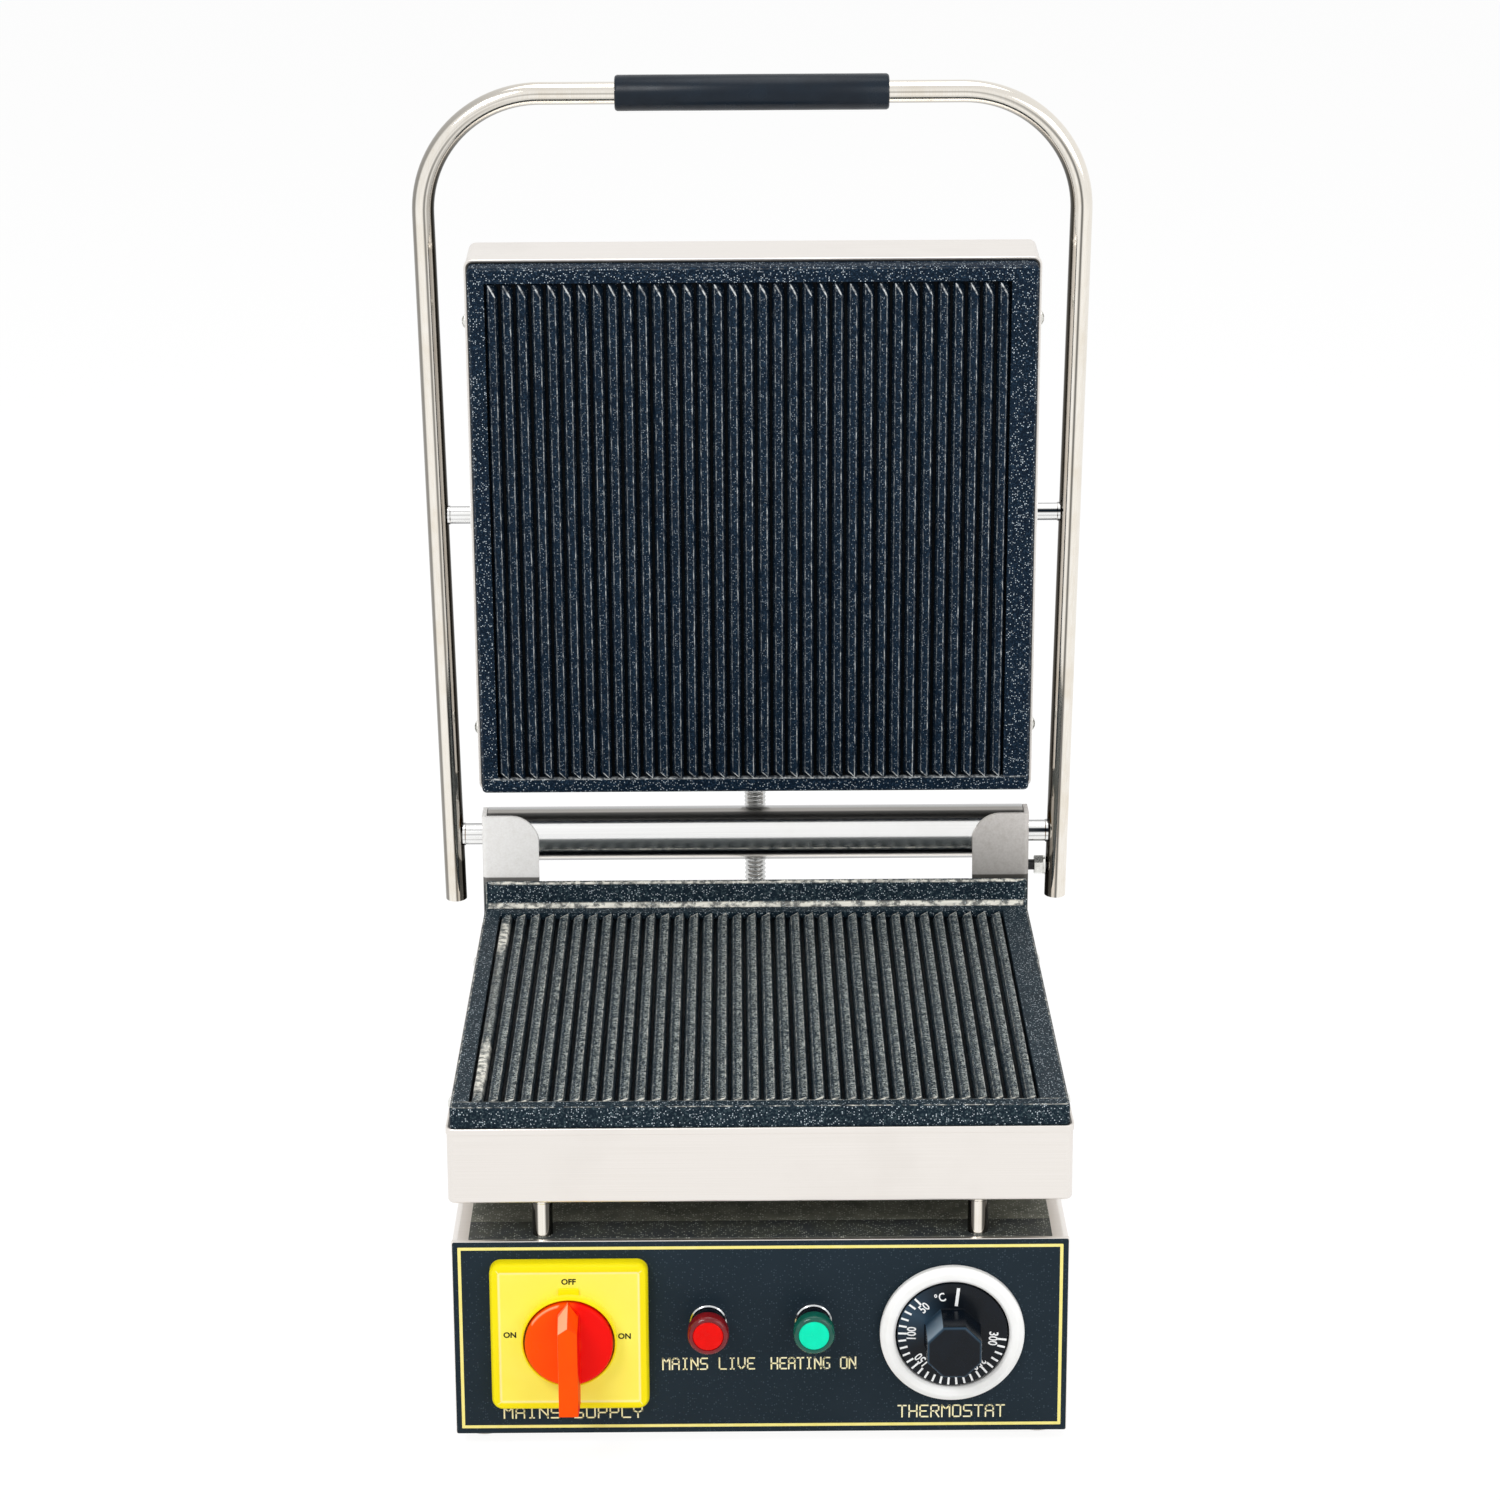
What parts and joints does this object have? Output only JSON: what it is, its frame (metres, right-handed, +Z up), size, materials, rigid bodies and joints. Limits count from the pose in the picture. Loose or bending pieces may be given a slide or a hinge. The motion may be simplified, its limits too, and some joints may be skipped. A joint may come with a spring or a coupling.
{
  "type": "panini press",
  "caption": "Electric contact grill with ribbed cast plates, a lift-up handle frame carrying a pivoting upper plate, a rotary switch, pilot lamps and a dial thermostat.",
  "frame": {"origin": "on the ground, under the middle of the base cabinet", "axes": "+Z up, front with the controls towards -Y, +X to the right seen from the front"},
  "size_m": [0.3052, 0.3578, 0.5378],
  "materials": {
    "stainless_sheet": "brushed",
    "panel_enamel": "satin",
    "shield_enamel": "textured",
    "white_rubber": "matt",
    "zinc_steel": "plated",
    "polished_stainless": "polished",
    "cast_iron": "seasoned, sand cast",
    "element_sheath": "oxidised",
    "mineral_wool": "fibrous",
    "copper_bulb": "drawn",
    "sintered_bronze": "sintered",
    "spring_steel": "black oxide",
    "yellow_plastic": "moulded",
    "orange_plastic": "moulded",
    "grey_plastic": "moulded",
    "lamp_collar": "turned",
    "red_lens": "moulded, clear tinted",
    "green_lens": "moulded, clear tinted",
    "white_plastic": "moulded",
    "black_plastic": "moulded",
    "ceramic": "pressed",
    "black_nylon": "moulded",
    "conduit_metal": "corrugated",
    "navy_grip": "moulded"
  },
  "bodies": {
    "base": {"base_shell": "stainless_sheet", "front_panel": "panel_enamel", "base_cover": "stainless_sheet", "heat_shield": "shield_enamel", "rubber_feet": "white_rubber", "foot_screws": "zinc_steel", "support_posts": "polished_stainless", "post_nuts": "zinc_steel", "lower_housing": "stainless_sheet", "lower_grill_plate": "cast_iron", "lower_heating_element": "element_sheath", "lower_element_clamp": "zinc_steel", "lower_clamp_screws": "zinc_steel", "lower_insulation": "mineral_wool", "lower_side_screws": "zinc_steel", "thermostat_bulb": "copper_bulb", "left_bracket": "stainless_sheet", "right_bracket": "stainless_sheet", "bracket_screws": "zinc_steel", "hinge_tube": "polished_stainless", "hinge_bushes": "sintered_bronze", "left_spring": "spring_steel", "right_spring": "spring_steel", "switch_plate": "yellow_plastic", "switch_body": "grey_plastic", "lamp_bodies": "lamp_collar", "lamp_nuts": "zinc_steel", "red_lamp": "red_lens", "green_lamp": "green_lens", "dial_ring": "white_plastic", "thermostat_body": "ceramic", "terminal_block": "ceramic", "mains_gland": "black_nylon", "conduit_base_gland": "conduit_metal", "wiring_conduit": "conduit_metal"},
    "handle": {"left_arm": "polished_stainless", "right_arm": "polished_stainless", "cross_bar": "polished_stainless", "handle_grip": "navy_grip", "hinge_shaft": "polished_stainless", "pivot_pins": "polished_stainless", "stop_bolt": "spring_steel", "stop_nut": "zinc_steel", "stop_washer": "zinc_steel"},
    "upper_plate": {"upper_housing": "stainless_sheet", "upper_grill_plate": "cast_iron", "upper_heating_element": "element_sheath", "upper_element_clamp": "zinc_steel", "upper_clamp_screws": "zinc_steel", "upper_insulation": "mineral_wool", "upper_side_screws": "zinc_steel", "upper_access_cover": "stainless_sheet", "cover_screws": "zinc_steel", "pivot_bushes": "polished_stainless", "upper_conduit_gland": "conduit_metal"},
    "switch_knob": {"switch_knob": "orange_plastic", "switch_shaft": "zinc_steel"},
    "thermostat_knob": {"thermostat_knob": "black_plastic", "thermostat_shaft": "zinc_steel"}
  },
  "joints": [
    {"name": "handle_hinge", "type": "hinge", "parent": "base", "child": "handle", "pos_m": [0, 0.126, 0.18025], "axis": [1, 0, 0], "range_deg": [0, 85], "deforming": ["wiring_conduit"]},
    {"name": "plate_tilt", "type": "hinge", "parent": "handle", "child": "upper_plate", "pos_m": [0, 0.11919, 0.3361], "axis": [1, 0, 0], "range_deg": [-4, 4]},
    {"name": "switch_turn", "type": "hinge", "parent": "base", "child": "switch_knob", "pos_m": [-0.0792, -0.154, 0.0523], "axis": [0, 1, 0], "range_deg": [-90, 90]},
    {"name": "thermostat_turn", "type": "hinge", "parent": "base", "child": "thermostat_knob", "pos_m": [0.0793, -0.154, 0.0515], "axis": [0, 1, 0], "range_deg": [0, 264]}
  ]
}
